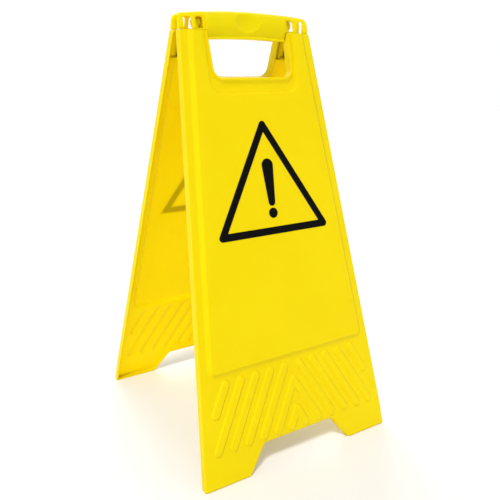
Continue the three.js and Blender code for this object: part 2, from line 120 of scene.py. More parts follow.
# printed mark, seen as a ghost from inside the leaf: painted shade, the print's shadow in light coming
# through the wall
TRIANGLE_APEX = 477.4
TRIANGLE_BASE = 318.2
TRIANGLE_HALF_WIDTH = 91.6
TRIANGLE_BAND = 10.0
GHOST_BLUR = 1.6
GHOST_BAR_MIDDLE = 389.5
GHOST_BAR_HALF_WIDTH = (6.8, 8.5)
GHOST_BAR_HALF_HEIGHT = (30.0, 33.0)

# Above this height the arm's end is levelled, so that it lies flat under the handle's foot.
MITRE_START = 588.0
ARM_TOP_RISE = 0.2

MM = 0.001

# Sides of the leaf's outline, each named by the corner it starts from.
SIDE_COUNT = 12
SOLES = (0, 4)
LONG_EDGES = (5, 11)
ARM_TOPS = (6, 10)
SIDE_SPACING = 7.0
LONG_EDGE_SPACING = 12.0
ARM_TOP_SPACING = 1.3


# ---------------------------------------------------------------- outlines
def leaf_corners():
    """(u, v, radius) of the leaf's outline, anticlockwise from the left foot's outer corner."""
    half = [
        (NOTCH_HALF_WIDTH_TOP, NOTCH_HEIGHT, 6.0),
        (NOTCH_HALF_WIDTH_SOLE, 0.0, 4.0),
        (SOLE_HALF_WIDTH, 0.0, 4.0),
        (ARM_TOP_HALF_WIDTH, LEAF_LENGTH, 3.0),
        (HAND_HALF_WIDTH_TOP, LEAF_LENGTH, 2.0),
        (HAND_HALF_WIDTH_BOTTOM, HAND_BOTTOM, HAND_CORNER),
    ]
    left = [(-u, v, r) for u, v, r in half]
    return [left[2], left[1], left[0]] + half + [left[5], left[4], left[3]]


def inset(corners, distances):
    """Moves side i, from corner i to corner i + 1, inward by distances[i]; radii follow."""
    count = len(corners)
    points = [Vector(c[:2]) for c in corners]
    along = [(points[(i + 1) % count] - points[i]).normalized() for i in range(count)]
    starts = [
        points[i] + Vector((-along[i].y, along[i].x)) * distances[i]
        for i in range(count)
    ]
    moved = []
    for i in range(count):
        before = i - 1
        turn = along[before].cross(along[i])
        reach = (starts[i] - starts[before]).cross(along[i]) / turn
        corner = starts[before] + along[before] * reach
        shift = max(distances[before], distances[i])
        radius = corners[i][2] + (-shift if turn > 0 else shift)
        moved.append((corner.x, corner.y, max(radius, 0.3)))
    return moved


def side_counts(corners, spacing):
    """How many pieces each straight side is cut into."""
    counts = []
    for i, corner in enumerate(corners):
        length = (Vector(corners[(i + 1) % len(corners)][:2]) - Vector(corner[:2])).length
        counts.append(max(1, round(length / spacing[i])))
    return counts


def rounded_loop(corners, counts, arc_steps=5):
    """Points of the closed outline: an arc at each corner and counts[i] pieces along side i."""
    loop = []
    size = len(corners)
    arcs = []
    for i in range(size):
        here = Vector(corners[i][:2])
        arriving = (here - Vector(corners[i - 1][:2])).normalized()
        leaving = (Vector(corners[(i + 1) % size][:2]) - here).normalized()
        turn = math.atan2(arriving.cross(leaving), arriving.dot(leaving))
        radius = corners[i][2]
        start = here - arriving * radius * math.tan(abs(turn) / 2)
        side = math.copysign(1.0, turn)
        centre = start + Vector((-arriving.y, arriving.x)) * side * radius
        first = start - centre
        arcs.append(
            [
                centre + Matrix.Rotation(turn * k / arc_steps, 2) @ first
                for k in range(arc_steps + 1)
            ]
        )
    for i in range(size):
        loop.extend(arcs[i])
        a, b = arcs[i][-1], arcs[(i + 1) % size][0]
        loop.extend(a.lerp(b, k / counts[i]) for k in range(1, counts[i]))
    return np.array([(p.x, p.y) for p in loop])


def half_width(v):
    return SOLE_HALF_WIDTH + (ARM_TOP_HALF_WIDTH - SOLE_HALF_WIDTH) * v / LEAF_LENGTH


def panel_loop(offset, top, step=14.0):
    corners = []
    for v, radius in ((PANEL_BOTTOM, PANEL_CORNER), (top, 0.3)):
        reach = half_width(v) - PANEL_MARGIN
        pair = [(-reach, v, radius), (reach, v, radius)]
        corners += pair if v == PANEL_BOTTOM else pair[::-1]
    moved = inset(corners, [offset, offset, 0.0, offset])
    return rounded_loop(moved, side_counts(corners, [step] * 4), 6)


def opening_loop(half_top, half_bottom, bottom, radius, top, step=8.0):
    corners = [
        (-half_bottom, bottom, radius),
        (half_bottom, bottom, radius),
        (half_top, top, 0.3),
        (-half_top, top, 0.3),
    ]
    return rounded_loop(corners, side_counts(corners, [step] * 4), 7)


def frame_loop(offset, top):
    half = FRAME_HALF_WIDTH - offset
    return opening_loop(half, half, FRAME_BOTTOM + offset, FRAME_CORNER - offset, top)


def lip_loop(side, below, top):
    half_top = HAND_HALF_WIDTH_TOP + side
    half_bottom = HAND_HALF_WIDTH_BOTTOM + side
    return opening_loop(half_top, half_bottom, HAND_BOTTOM - below, HAND_CORNER + side, top)


def rib_lines():
    """The centre lines of the ribs, ((u, v), (u, v)) each."""
    lines = []
    for side in (-1, 1):
        for k in range(RIB_COUNT):
            top = RIB_FIRST + RIB_PITCH * k
            foot = OUTER_RIB_FOOT if k == RIB_COUNT - 1 else RIB_FOOT
            reach = top + RIB_SLANT * (RIB_TOP - foot)
            lines.append(((side * top, RIB_TOP), (side * reach, foot)))
        for apex in CHEVRON_APEXES:
            lines.append(((0.0, apex), (side * RIB_SLANT * (apex - RIB_FOOT), RIB_FOOT)))
    return lines


def capsule_loop(line, radius, arc_steps=6):
    a, b = Vector(line[0]), Vector(line[1])
    angle = math.atan2(b.y - a.y, b.x - a.x)
    points = []
    for centre, start in ((b, angle - math.pi / 2), (a, angle + math.pi / 2)):
        for k in range(arc_steps + 1):
            turn = start + math.pi * k / arc_steps
            points.append((centre.x + radius * math.cos(turn), centre.y + radius * math.sin(turn)))
    return np.array(points)


# ---------------------------------------------------------------- distances and heights
def nearest_on(points, loop, closed=True):
    """Distance from each point to a polyline, and the nearest place on it."""
    start = loop
    end = np.roll(loop, -1, axis=0)
    if not closed:
        start, end = loop[:-1], loop[1:]
    best = np.full(len(points), np.inf)
    place = np.zeros_like(points)
    for a, b in zip(start, end):
        edge = b - a
        t = np.clip(((points - a) @ edge) / max(edge @ edge, 1e-12), 0, 1)
        q = a + t[:, None] * edge
        d = np.hypot(*(points - q).T)
        closer = d < best
        best[closer] = d[closer]
        place[closer] = q[closer]
    return best, place


def inside(points, loop):
    x, y = points.T
    result = np.zeros(len(points), bool)
    for (x0, y0), (x1, y1) in zip(loop, np.roll(loop, -1, axis=0)):
        crosses = (y0 > y) != (y1 > y)
        with np.errstate(divide="ignore", invalid="ignore"):
            at = (x1 - x0) * (y - y0) / (y1 - y0) + x0
        result ^= crosses & (x < at)
    return result


def depth_in(points, loop):
    """Signed distance to a closed outline, positive inside."""
    distance, _ = nearest_on(points, loop)
    return np.where(inside(points, loop), distance, -distance)


def ramp(x, fillet=0.25):
    """0 to 1 over x from 0 to 1, straight in the middle and rounded at both ends."""
    x = np.clip(x, 0, 1)
    scale = 2 * fillet * (1 - fillet)
    low = x * x / scale
    high = 1 - (1 - x) ** 2 / scale
    middle = (x - fillet / 2) / (1 - fillet)
    return np.where(x < fillet, low, np.where(x > 1 - fillet, high, middle))


def rib_depth(points):
    best = np.full(len(points), np.inf)
    for line in rib_lines():
        distance, _ = nearest_on(points, np.array(line), closed=False)
        best = np.minimum(best, distance)
    return RIB_RADIUS - best


def facing_down(points, place, away):
    """1 where the nearest place of an outline lies straight below, 0 beside or above it."""
    return np.clip((points[:, 1] - place[:, 1]) / np.maximum(away, 1e-6), 0, 1) ** 2


def relief(points, inner=False):
    """How far the face stands out at each (u, v); inner is the same for the inner side of the wall."""
    beyond = LEAF_LENGTH + 60
    panel_edge = panel_loop(0, beyond)
    frame_edge = frame_loop(0, beyond)
    panel = depth_in(points, panel_edge)
    sunk = depth_in(points, frame_edge)
    lower_panel = facing_down(points, nearest_on(points, panel_edge)[1], np.abs(panel))
    lower_frame = facing_down(points, nearest_on(points, frame_edge)[1], np.abs(sunk))
    ribs = rib_depth(points)
    if inner:
        panel = panel - INNER_PANEL_SHIFT
        sunk = sunk - INNER_FRAME_SHIFT
        ribs = ribs - INNER_RIB_SHIFT
    rise = np.clip(panel / PANEL_SLOPE, 0, 1)
    undercut = LOWER_PANEL_BEND * rise**2 + (1 - LOWER_PANEL_BEND) * rise
    raised = ramp(rise) + lower_panel * (undercut - ramp(rise))
    step = FRAME_SLOPE + (FRAME_LOWER_SLOPE - FRAME_SLOPE) * lower_frame
    raised = np.minimum(raised, 1 - ramp(sunk / step, FRAME_FILLET))
    if inner:
        bars = INNER_RIB_RISE * ramp(ribs / INNER_RIB_SLOPE, RIB_FILLET)
        return np.maximum(PANEL_RISE * raised, bars)
    bars = RIB_RISE * ramp(ribs / RIB_SLOPE, RIB_FILLET)
    height = np.maximum(PANEL_RISE * raised, bars)
    opening = lip_loop(0, 0, beyond)
    away, place = nearest_on(points, opening)
    below = np.clip((place[:, 1] - points[:, 1]) / np.maximum(away, 1e-6), 0, 1) ** 2
    width = LIP_SIDE_WIDTH + (LIP_BOTTOM_WIDTH - LIP_SIDE_WIDTH) * below
    slope = LIP_SIDE_SLOPE + (LIP_BOTTOM_SLOPE - LIP_SIDE_SLOPE) * below
    return np.maximum(height, LIP_RISE * ramp((width - away) / slope, LIP_FILLET))


def edge_drop(points, outline, lower):
    """How far the outer face falls away beside the outline, where its edge is rounded."""
    near, place = nearest_on(points, outline)
    r = np.where(place[:, 1] > LEAF_LENGTH - 0.2, ARM_TOP_ROUND, EDGE_ROUND)
    drop = r - np.sqrt(np.maximum(r * r - np.maximum(r - near, 0) ** 2, 0))
    r = LOWER_EDGE_ROUND
    near, _ = nearest_on(points, lower, closed=False)
    return np.maximum(drop, r - np.sqrt(np.maximum(r * r - np.maximum(r - near, 0) ** 2, 0)))


# ---------------------------------------------------------------- leaf mesh
class Skin:
    """Collects vertices (u, v, w) and faces of one mesh."""

    def __init__(self):
        self.points = []
        self.faces = []
        self.inner = []

    def add(self, points, inner):
        first = len(self.points)
        self.points.extend(map(tuple, points))
        self.inner.extend([inner] * len(points))
        return first

    def strip(self, lower, upper):
        """Quads between two closed rings of vertex indices."""
        count = len(lower)
        for k in range(count):
            n = (k + 1) % count
            self.faces.append((lower[k], lower[n], upper[n], upper[k]))


def triangulate(boundary, lines, spots):
    """Triangles inside the closed boundary that follow the given lines; its own points come first."""
    points = [Vector(p) for p in boundary]
    count = len(points)
    edges = [(k, (k + 1) % count) for k in range(count)]
    for line, closed in lines:
        first = len(points)
        points.extend(Vector(p) for p in line)
        last = len(points)
        edges.extend((k, k + 1) for k in range(first, last - 1))
        if closed:
            edges.append((last - 1, first))
    core = np.array([(p.x, p.y) for p in points])
    safe = depth_in(core, boundary) > 0.12
    safe[:count] = True
    keep = [e for e in edges if safe[e[0]] and safe[e[1]]]
    used = {k for e in keep for k in e}
    index = {k: n for n, k in enumerate(sorted(used))}
    kept_points = [points[k] for k in sorted(used)]
    kept_edges = [(index[a], index[b]) for a, b in keep]
    free = [Vector(p) for p in spots]
    verts, _, faces, source, _, _ = delaunay_2d_cdt(
        kept_points + free, kept_edges, [], 0, 1e-4
    )
    flat = np.array([(v.x, v.y) for v in verts])
    centres = np.array([flat[list(f)].mean(axis=0) for f in faces])
    within = inside(centres, boundary)
    where = {}
    for new, olds in enumerate(source):
        for old in olds:
            if old < count:
                where[old] = new
    return flat, [f for f, ok in zip(faces, within) if ok], [where[k] for k in range(count)]


def without_top(loop, top):
    """The open line that is left of a closed loop when its top side is taken away."""
    high = loop[:, 1] > top - 0.05
    start = int(np.where(high)[0][-1])
    turned = np.roll(loop, -start, axis=0)
    ends = np.where(turned[:, 1] > top - 0.05)[0]
    second = int(ends[ends > 0][0]) if (ends > 0).any() else len(turned) - 1
    return turned[: second + 1]


def feature_lines(clearance, inner=False):
    top = LEAF_LENGTH - clearance
    panel_shift = INNER_PANEL_SHIFT if inner else 0.0
    frame_shift = INNER_FRAME_SHIFT if inner else 0.0
    radius = RIB_RADIUS - INNER_RIB_SHIFT if inner else RIB_RADIUS
    slope = INNER_RIB_SLOPE if inner else RIB_SLOPE
    lines = []
    for share in (0.0, 0.12, 0.25, 0.5, 0.75, 0.88, 1.0):
        lines.append((without_top(panel_loop(panel_shift + PANEL_SLOPE * share, top), top), False))
    for depth in (0.0, 0.9, 2.4, FRAME_SLOPE, FRAME_LOWER_SLOPE):
        lines.append((without_top(frame_loop(frame_shift + depth, top), top), False))
    if not inner:
        for side, below in LIP_LINES:
            lines.append((without_top(lip_loop(side, below, top), top), False))
    for line in rib_lines():
        for share in (0.0, 0.2, 0.4, 0.65, 1.0):
            lines.append((capsule_loop(line, max(radius - slope * share, 0.2)), True))
    return lines


def scattered(boundary, spacing=15.0, margin=5.0):
    """Extra points over the flat of the leaf, in a staggered grid."""
    rows = np.arange(0, LEAF_LENGTH, spacing * 0.866)
    points = []
    for k, v in enumerate(rows):
        across = np.arange(-SOLE_HALF_WIDTH, SOLE_HALF_WIDTH, spacing)
        shift = spacing / 2 if k % 2 else 0.0
        points.extend((u + shift, v) for u in across)
    points = np.array(points)
    return points[depth_in(points, boundary) > margin]


def side_distances(plain, sole):
    return [sole if k in SOLES else plain for k in range(SIDE_COUNT)]


def leaf_rings():
    """A function that gives the outline moved inward, and the outline's part from sole to sole."""
    corners = leaf_corners()
    spacing = [SIDE_SPACING] * SIDE_COUNT
    for k in ARM_TOPS:
        spacing[k] = ARM_TOP_SPACING
    for k in LONG_EDGES:
        spacing[k] = LONG_EDGE_SPACING
    counts = side_counts(corners, spacing)

    def ring(plain, sole):
        return rounded_loop(inset(corners, side_distances(plain, sole)), counts)

    lower_end = 6 * 5 + sum(counts[:5])
    return ring, rounded_loop(corners, counts)[2 : lower_end + 2]


def add_outer_face(skin, ring, lower):
    """The outer face with its relief; gives the vertices round its rim."""
    outline = ring(0, 0)
    lines = [(ring(t, t), True) for t in (0.35, 1.2, 2.2, 3.5)]
    lines += feature_lines(0.5)
    flat, faces, rim = triangulate(outline, lines, scattered(outline))
    height = relief(flat) - edge_drop(flat, outline, lower)
    first = skin.add(np.column_stack([flat, -height]), 0.0)
    skin.faces.extend(tuple(first + k for k in reversed(f)) for f in faces)
    return [first + k for k in rim]


def add_tray_rim(skin, ring, previous, floor_w):
    """The tray's wall, from the outer face over its edge and down to the inner face."""
    steps = [
        (0.0, 0.0, FLANGE_DEPTH - 0.8),
        (0.25, 0.25, FLANGE_DEPTH - 0.22),
        (0.8, 0.8, FLANGE_DEPTH),
        (WALL - 0.6, SOLE_THICKNESS - 0.6, FLANGE_DEPTH),
        (WALL - 0.15, SOLE_THICKNESS - 0.15, FLANGE_DEPTH - 0.18),
        (WALL, SOLE_THICKNESS, FLANGE_DEPTH - 0.7),
        (WALL, SOLE_THICKNESS, floor_w + BED_FILLET),
        (WALL + 0.5, SOLE_THICKNESS + 0.5, floor_w + 0.5),
    ]
    for plain, sole, w in steps:
        loop = ring(plain, sole)
        first = skin.add(np.column_stack([loop, np.broadcast_to(w, len(loop))]), 0.0)
        current = list(range(first, first + len(loop)))
        skin.strip(previous, current)
        previous = current
    return previous


def add_inner_face(skin, bed, previous):
    flat, faces, rim = triangulate(bed, feature_lines(WALL + 2.6, inner=True), scattered(bed))
    height = relief(flat, inner=True)
    first = skin.add(np.column_stack([flat, WALL - height]), 1.0)
    skin.faces.extend(tuple(first + k for k in f) for f in faces)
    skin.strip(previous, [first + k for k in rim])


def build_leaf_skin():
    ring, lower = leaf_rings()
    skin = Skin()
    outer_rim = add_outer_face(skin, ring, lower)
    bed = ring(WALL + BED_FILLET, SOLE_THICKNESS + BED_FILLET)
    floor_w = WALL - relief(bed, inner=True)
    add_inner_face(skin, bed, add_tray_rim(skin, ring, outer_rim, floor_w))
    return skin


def bed_height(u, v):
    """w of the middle of the wall, where a stiffener is rooted."""
    return WALL / 2 - float(relief(np.array([[u, v]]), inner=True)[0])


def add_web(skin, near, far):
    """A thin wall that stands on the inner face between two matching lists of (u, v) places."""
    sections = []
    for (u0, v0), (u1, v1) in zip(near, far):
        chamfer = 0.4
        t = chamfer / math.hypot(u1 - u0, v1 - v0)
        du, dv = (u1 - u0) * t, (v1 - v0) * t
        sections.append(
            [
                (u0, v0, bed_height(u0, v0)),
                (u0, v0, WEB_DEPTH - chamfer),
                (u0 + du, v0 + dv, WEB_DEPTH),
                (u1 - du, v1 - dv, WEB_DEPTH),
                (u1, v1, WEB_DEPTH - chamfer),
                (u1, v1, bed_height(u1, v1)),
            ]
        )
    rows = []
    for section in sections:
        first = skin.add(section, 1.0)
        rows.append(list(range(first, first + len(section))))
    flip = (near[1][0] - near[0][0]) * (far[0][1] - near[0][1]) - (near[1][1] - near[0][1]) * (
        far[0][0] - near[0][0]
    )
    for low, high in zip(rows, rows[1:]):
        for k in range(6):
            n = (k + 1) % 6
            quad = (low[k], high[k], high[n], low[n])
            skin.faces.append(quad if flip > 0 else quad[::-1])
    ends = (tuple(rows[0]), tuple(reversed(rows[-1])))
    skin.faces.extend(ends if flip > 0 else [e[::-1] for e in ends])


def join_bmesh(skin, made, inner):
    made.verts.index_update()
    first = skin.add([tuple(v.co) for v in made.verts], inner)
    # (u, v, w) is a left-handed set, so faces that point outward here are turned over.
    skin.faces.extend(tuple(first + v.index for v in reversed(f.verts)) for f in made.faces)
    made.free()


def add_stiffeners(skin):
    """A shelf across each hollow arm and two webs above it."""
    for side in (-1, 1):
        inner = side * (HAND_HALF_WIDTH_TOP + 1.2)
        outer = side * (half_width(SHELF_HEIGHT) - 1.6)
        across = np.linspace(inner, outer, 25)
        low, high = SHELF_HEIGHT, SHELF_HEIGHT + WEB_THICKNESS
        add_web(skin, [(u, low) for u in across], [(u, high) for u in across])
        for position in ARM_WEBS:
            u0 = side * position - WEB_THICKNESS / 2
            u1 = u0 + WEB_THICKNESS
            along = np.linspace(SHELF_HEIGHT + 1, LEAF_LENGTH - 1.6, 9)
            add_web(skin, [(u0, v) for v in along], [(u1, v) for v in along])


def lug_outline(steps=22):
    """(w, v) points of one hinge lug: a web from the top of the arm that ends in a round eye."""
    foot_v = LEAF_LENGTH + LUG_FOOT_GAP
    away = math.hypot(HINGE_W - FLANGE_DEPTH, HINGE_V - foot_v)
    bearing = math.atan2(foot_v - HINGE_V, FLANGE_DEPTH - HINGE_W)
    start = bearing + math.acos(EYE_RADIUS / away)
    points = [(LUG_FRONT, foot_v), (FLANGE_DEPTH, foot_v)]
    for k in range(steps + 1):
        angle = start + (math.pi - start) * k / steps
        points.append((HINGE_W + EYE_RADIUS * math.cos(angle), HINGE_V + EYE_RADIUS * math.sin(angle)))
    return points


def build_lug_skin(u0):
    """One hinge lug, a web with an eye round the pin."""
    u1 = u0 + LUG_WIDTH
    made = bmesh.new()
    outer = lug_outline()
    hole = [
        (
            HINGE_W + EYE_BORE * math.cos(2 * math.pi * k / BORE_STEPS),
            HINGE_V + EYE_BORE * math.sin(2 * math.pi * k / BORE_STEPS),
        )
        for k in range(BORE_STEPS)
    ]
    edges = [(k, (k + 1) % len(outer)) for k in range(len(outer))]
    base = len(outer)
    edges += [(base + k, base + (k + 1) % BORE_STEPS) for k in range(BORE_STEPS)]
    verts, _, faces, _, _, _ = delaunay_2d_cdt(
        [Vector(p) for p in outer + hole], edges, [], 0, 1e-4
    )
    flat = np.array([(p.x, p.y) for p in verts])
    centres = np.array([flat[list(f)].mean(axis=0) for f in faces])
    solid = inside(centres, np.array(outer)) & ~inside(centres, np.array(hole))
    near = [made.verts.new((u0, v, w)) for w, v in flat]
    caps = [made.faces.new([near[k] for k in f]) for f, ok in zip(faces, solid) if ok]
    moved = bmesh.ops.extrude_face_region(made, geom=caps)["geom"]
    for item in moved:
        if isinstance(item, bmesh.types.BMVert):
            item.co.x = u1
    bmesh.ops.delete(made, geom=[v for v in made.verts if not v.link_faces], context="VERTS")
    bmesh.ops.recalc_face_normals(made, faces=made.faces[:])
    sharp = [
        e
        for e in made.edges
        if len(e.link_faces) == 2 and e.calc_face_angle(0) > math.radians(50)
    ]
    bmesh.ops.bevel(
        made, geom=sharp, offset=LUG_EDGE_ROUND, segments=2, affect="EDGES", profile=0.5
    )
    skin = Skin()
    join_bmesh(skin, made, 0.0)
    return skin


def to_frame(points, back):
    """Leaf (u, v, w) in millimetres to the part's frame in metres; feet are cut flat on the floor."""
    u, v, w = np.array(points).T
    at_top = np.clip((v - MITRE_START) / (LEAF_LENGTH - MITRE_START), 0, 1) * (v < LEAF_LENGTH + 0.1)
    v = v + at_top * (ARM_TOP_RISE + w * math.tan(LEAN))
    v = np.maximum(v, w * math.tan(LEAN))
    y = -(FACE_TO_MIDDLE + LEAF_LENGTH * math.sin(LEAN)) + w * math.cos(LEAN) + v * math.sin(LEAN)
    z = v * math.cos(LEAN) - w * math.sin(LEAN)
    turn = -1.0 if back else 1.0
    return np.column_stack([turn * u, turn * y, z]) * MM


def make_moulding(name, skin, back, material):
    mesh = bpy.data.meshes.new(name)
    mesh.from_pydata(to_frame(skin.points, back).tolist(), [], skin.faces)
    mesh.validate()
    plan = mesh.uv_layers.new(name="leaf_plan")
    flat = np.array(skin.points)[:, :2] * MM
    corner = np.zeros(len(mesh.loops), np.int32)
    mesh.loops.foreach_get("vertex_index", corner)
    plan.data.foreach_set("uv", flat[corner].astype(np.float32).ravel())
    side = mesh.attributes.new("inner_side", "FLOAT", "POINT")
    side.data.foreach_set("value", np.array(skin.inner, np.float32))
    mesh.shade_smooth()
    mesh.materials.append(material)
    leaf = bpy.data.objects.new(name, mesh)
    bpy.context.scene.collection.objects.link(leaf)
    weighted = leaf.modifiers.new("face weighted normals", "WEIGHTED_NORMAL")
    weighted.keep_sharp = False
    weighted.weight = 60
    return leaf


# ---------------------------------------------------------------- materials
class Nodes:
    """Short ways to add nodes to one material."""

    def __init__(self, name):
        self.material = bpy.data.materials.new(name)
        self.material.use_nodes = True
        self.tree = self.material.node_tree
        self.shader = self.tree.nodes["Principled BSDF"]

    def add(self, kind, **settings):
        node = self.tree.nodes.new(kind)
        for key, value in settings.items():
            setattr(node, key, value)
        return node

    def link(self, source, target):
        self.tree.links.new(source, target)

    def math(self, operation, a, b=0.0, c=0.0, clamp=False):
        node = self.add("ShaderNodeMath", operation=operation, use_clamp=clamp)
        for socket, value in zip(node.inputs, (a, b, c)):
            if isinstance(value, (int, float)):
                socket.default_value = value
            else:
                self.link(value, socket)
        return node.outputs[0]

    def noise(self, vector, scale, detail=2.0, roughness=0.5):
        node = self.add("ShaderNodeTexNoise")
        node.inputs["Scale"].default_value = scale
        node.inputs["Detail"].default_value = detail
        node.inputs["Roughness"].default_value = roughness
        self.link(vector, node.inputs["Vector"])
        return node.outputs["Fac"]

    def span(self, value, low, high, to_low, to_high):
        node = self.add("ShaderNodeMapRange")
        for name, number in (
            ("From Min", low),
            ("From Max", high),
            ("To Min", to_low),
            ("To Max", to_high),
        ):
            node.inputs[name].default_value = number
        self.link(value, node.inputs["Value"])
        return node.outputs["Result"]

    def mix(self, factor, a, b):
        node = self.add("ShaderNodeMix", data_type="RGBA")
        self.fill(node.inputs[0], factor)
        self.fill(node.inputs[6], a)
        self.fill(node.inputs[7], b)
        return node.outputs[2]

    def fill(self, socket, value):
        if isinstance(value, (int, float)):
            socket.default_value = value
        elif isinstance(value, tuple):
            socket.default_value = (*value, 1.0)
        else:
            self.link(value, socket)


YELLOW = (0.86, 0.662, 0.003)
YELLOW_PALE = (0.88, 0.690, 0.004)
YELLOW_DEEP = (0.84, 0.622, 0.002)
SHEEN_TINT = (1.0, 0.88, 0.22)
INK = (0.0028, 0.0027, 0.0028)
INK_WORN = (0.0048, 0.0045, 0.0042)
# Painted shade: the print's shadow in light coming through the wall, painted darker on the leaf's inner
# face.
PAINTED_PRINT_SHADOW = (0.46, 0.30, 0.003)
PAINTED_PRINT_SHADOW_STRENGTH = 0.52
OUTER_GLOW = 0.12
INNER_GLOW = 1.0
HANDLE_GLOW = 0.85
GLOW_REACH = 0.010
SCUFF_HEIGHT = 0.12


def painted_print_shadow_mask(nodes):
    """1 on the printed mark as it shows from behind, where its shadow is painted as shade on the inner
    face, from the leaf's own plan coordinates.
    """
    plan = nodes.add("ShaderNodeUVMap", uv_map="leaf_plan")
    split = nodes.add("ShaderNodeSeparateXYZ")
    nodes.link(plan.outputs["UV"], split.inputs[0])
    u = nodes.math("ABSOLUTE", split.outputs[0])
    v = split.outputs[1]
    slope = math.atan2(TRIANGLE_HALF_WIDTH, TRIANGLE_APEX - TRIANGLE_BASE)
    across = nodes.math("MULTIPLY", u, math.cos(slope))
    down = nodes.math("MULTIPLY_ADD", v, -math.sin(slope), TRIANGLE_APEX * MM * math.sin(slope))
    from_side = nodes.math("SUBTRACT", down, across)
    from_base = nodes.math("SUBTRACT", v, TRIANGLE_BASE * MM)
    depth = nodes.math("MINIMUM", from_side, from_base)
    soft = GHOST_BLUR * MM
    outer = nodes.span(depth, -soft, soft, 0.0, 1.0)
    band = TRIANGLE_BAND * MM
    hollow = nodes.span(depth, band - soft, band + soft, 1.0, 0.0)
    ring = nodes.math("MULTIPLY", outer, hollow)
    bar_v = nodes.math("ABSOLUTE", nodes.math("SUBTRACT", v, GHOST_BAR_MIDDLE * MM))
    full_width, no_width = (x * MM for x in GHOST_BAR_HALF_WIDTH)
    full_height, no_height = (x * MM for x in GHOST_BAR_HALF_HEIGHT)
    bar = nodes.math(
        "MULTIPLY",
        nodes.span(u, full_width, no_width, 1.0, 0.0),
        nodes.span(bar_v, full_height, no_height, 1.0, 0.0),
    )
    mark = nodes.math("MAXIMUM", ring, bar)
    side = nodes.add("ShaderNodeAttribute", attribute_name="inner_side")
    return nodes.math("MULTIPLY", mark, side.outputs["Fac"], clamp=True)


def plastic_colour(nodes, place, ghost):
    """Cloudy yellow, with painted shade where the printed mark on the other side would shadow the light
    coming through the wall.
    """
    cloud = nodes.noise(place, 9.0, 3.0)
    colour = nodes.mix(nodes.span(cloud, 0.3, 0.7, 0.0, 1.0), YELLOW_DEEP, YELLOW_PALE)
    colour = nodes.mix(0.55, colour, YELLOW)
    if ghost:
        # Painted shade: the print's shadow through the wall darkens the inner face's colour.
        colour = nodes.mix(nodes.math("MULTIPLY", painted_print_shadow_mask(nodes), PAINTED_PRINT_SHADOW_STRENGTH), colour, PAINTED_PRINT_SHADOW)
    nodes.link(colour, nodes.shader.inputs["Base Color"])


def scuff_marks(nodes, place, scuffed):
    """Fine scratches, and only near the floor in full strength when scuffed is set."""
    streaks = nodes.add("ShaderNodeMapping")
    streaks.inputs["Scale"].default_value = (1.0, 1.0, 14.0)
    streaks.inputs["Rotation"].default_value = (0.3, 0.5, 0.2)
    nodes.link(place, streaks.inputs["Vector"])
    scratch = nodes.noise(streaks.outputs["Vector"], 60.0, 5.0, 0.7)
    marks = nodes.span(scratch, 0.66, 0.74, 0.0, 1.0)
    if not scuffed:
        return marks
    height = nodes.add("ShaderNodeSeparateXYZ")
    nodes.link(place, height.inputs[0])
    near_floor = nodes.span(height.outputs[2], 0.0, SCUFF_HEIGHT, 1.0, 0.25)
    return nodes.math("MULTIPLY", marks, near_floor)


def plastic_surface(nodes, place, grain, scuffed):
    """Uneven gloss and a fine moulded grain."""
    speck = nodes.noise(place, 900.0, 2.0)
    smear = nodes.noise(place, 35.0, 4.0, 0.6)
    marks = scuff_marks(nodes, place, scuffed)
    rough = nodes.span(smear, 0.3, 0.7, 0.36, 0.44)
    rough = nodes.math("MULTIPLY_ADD", marks, 0.10, rough)
    rough = nodes.math("MULTIPLY_ADD", speck, 0.04, rough)
    nodes.link(rough, nodes.shader.inputs["Roughness"])
    bump = nodes.add("ShaderNodeBump")
    bump.inputs["Strength"].default_value = grain
    bump.inputs["Distance"].default_value = 0.0004
    ripple = nodes.noise(place, 26.0, 1.0)
    surface = nodes.math("MULTIPLY_ADD", ripple, 1.2, nodes.math("MULTIPLY", speck, 0.35))
    surface = nodes.math("MULTIPLY_ADD", marks, -0.12, surface)
    nodes.link(surface, bump.inputs["Height"])
    nodes.link(bump.outputs["Normal"], nodes.shader.inputs["Normal"])


def yellow_plastic(name, grain, glow, ghost=False, scuffed=False):
    """Moulded polypropylene that lets some light through its thin walls."""
    nodes = Nodes(name)
    place = nodes.add("ShaderNodeTexCoord").outputs["Object"]
    plastic_colour(nodes, place, ghost)
    plastic_surface(nodes, place, grain, scuffed)
    nodes.shader.inputs["IOR"].default_value = 1.49
    nodes.shader.inputs["Specular IOR Level"].default_value = 0.16
    nodes.shader.inputs["Specular Tint"].default_value = (*SHEEN_TINT, 1.0)
    if ghost:
        side = nodes.add("ShaderNodeAttribute", attribute_name="inner_side")
        inside_glow = nodes.span(side.outputs["Fac"], 0.0, 1.0, glow, INNER_GLOW)
        nodes.link(inside_glow, nodes.shader.inputs["Subsurface Weight"])
    else:
        nodes.shader.inputs["Subsurface Weight"].default_value = glow
    nodes.shader.inputs["Subsurface Radius"].default_value = (1.0, 0.7, 0.08)
    nodes.shader.inputs["Subsurface Scale"].default_value = GLOW_REACH
    return nodes.material


def printed_ink(name):
    """Screen-printed black ink: slightly uneven film with a satin face."""
    nodes = Nodes(name)
    place = nodes.add("ShaderNodeTexCoord").outputs["Object"]
    film = nodes.noise(place, 140.0, 4.0, 0.6)
    colour = nodes.mix(nodes.span(film, 0.35, 0.65, 0.0, 1.0), INK, INK_WORN)
    nodes.link(colour, nodes.shader.inputs["Base Color"])
    nodes.link(nodes.span(film, 0.3, 0.7, 0.42, 0.52), nodes.shader.inputs["Roughness"])
    bump = nodes.add("ShaderNodeBump")
    bump.inputs["Strength"].default_value = 0.15
    bump.inputs["Distance"].default_value = 0.0002
    nodes.link(nodes.noise(place, 1500.0, 2.0), bump.inputs["Height"])
    nodes.link(bump.outputs["Normal"], nodes.shader.inputs["Normal"])
    nodes.shader.inputs["Specular IOR Level"].default_value = 0.05
    return nodes.material


